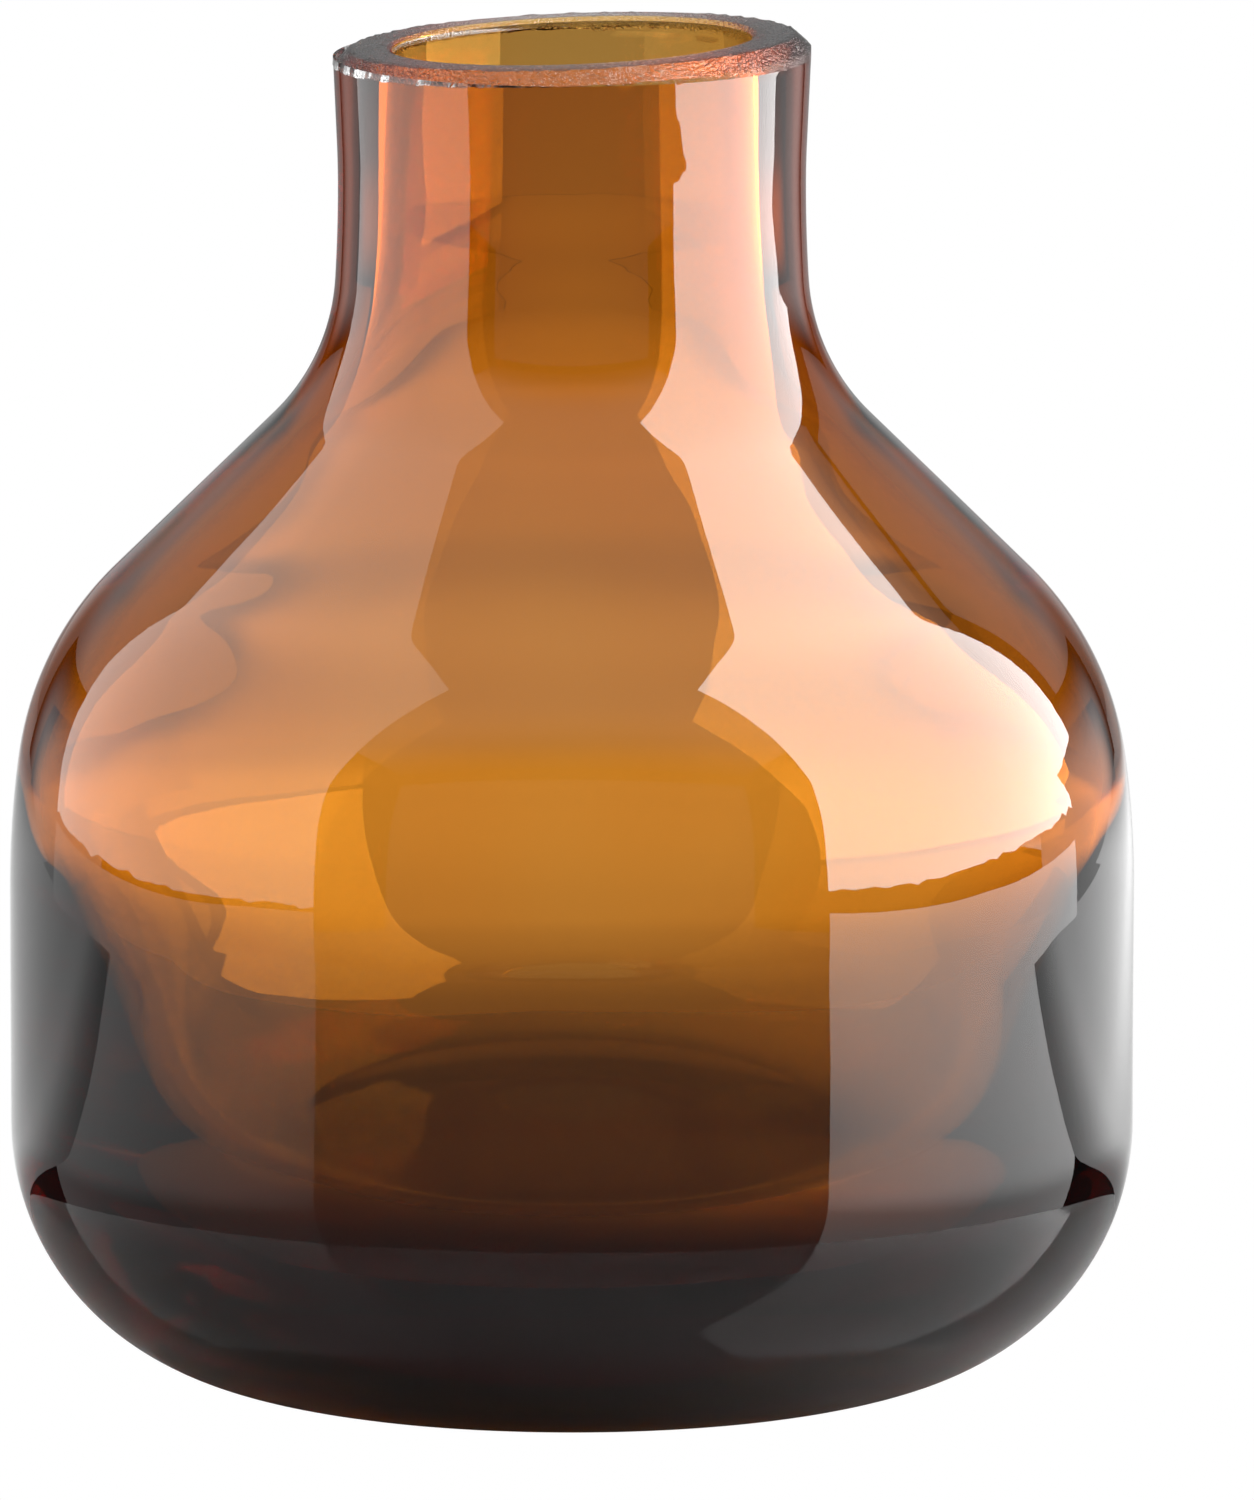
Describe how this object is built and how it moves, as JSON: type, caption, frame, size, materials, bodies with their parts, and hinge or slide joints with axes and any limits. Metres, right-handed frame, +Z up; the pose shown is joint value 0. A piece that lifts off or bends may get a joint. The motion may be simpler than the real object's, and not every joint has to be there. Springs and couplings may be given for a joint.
{
  "type": "glass bud vase",
  "caption": "Hand-blown cased glass bud vase, amber inside heavy smoke grey glass, with sloping shoulders, a short neck and a ground, slightly slanted rim.",
  "frame": {"origin": "centre of the flat foot, on the table", "axes": "+Z up along the vase's axis; +X towards the higher side of the slanted rim; +Y the other way across"},
  "size_m": [0.11, 0.11, 0.1324],
  "materials": {
    "smoke_glass": "clear smoke grey, fire polished, ground satin at the rim",
    "amber_glass": "clear amber, fire polished"
  },
  "bodies": {
    "root": {"smoke_casing": "smoke_glass", "amber_liner": "amber_glass"}
  },
  "joints": []
}
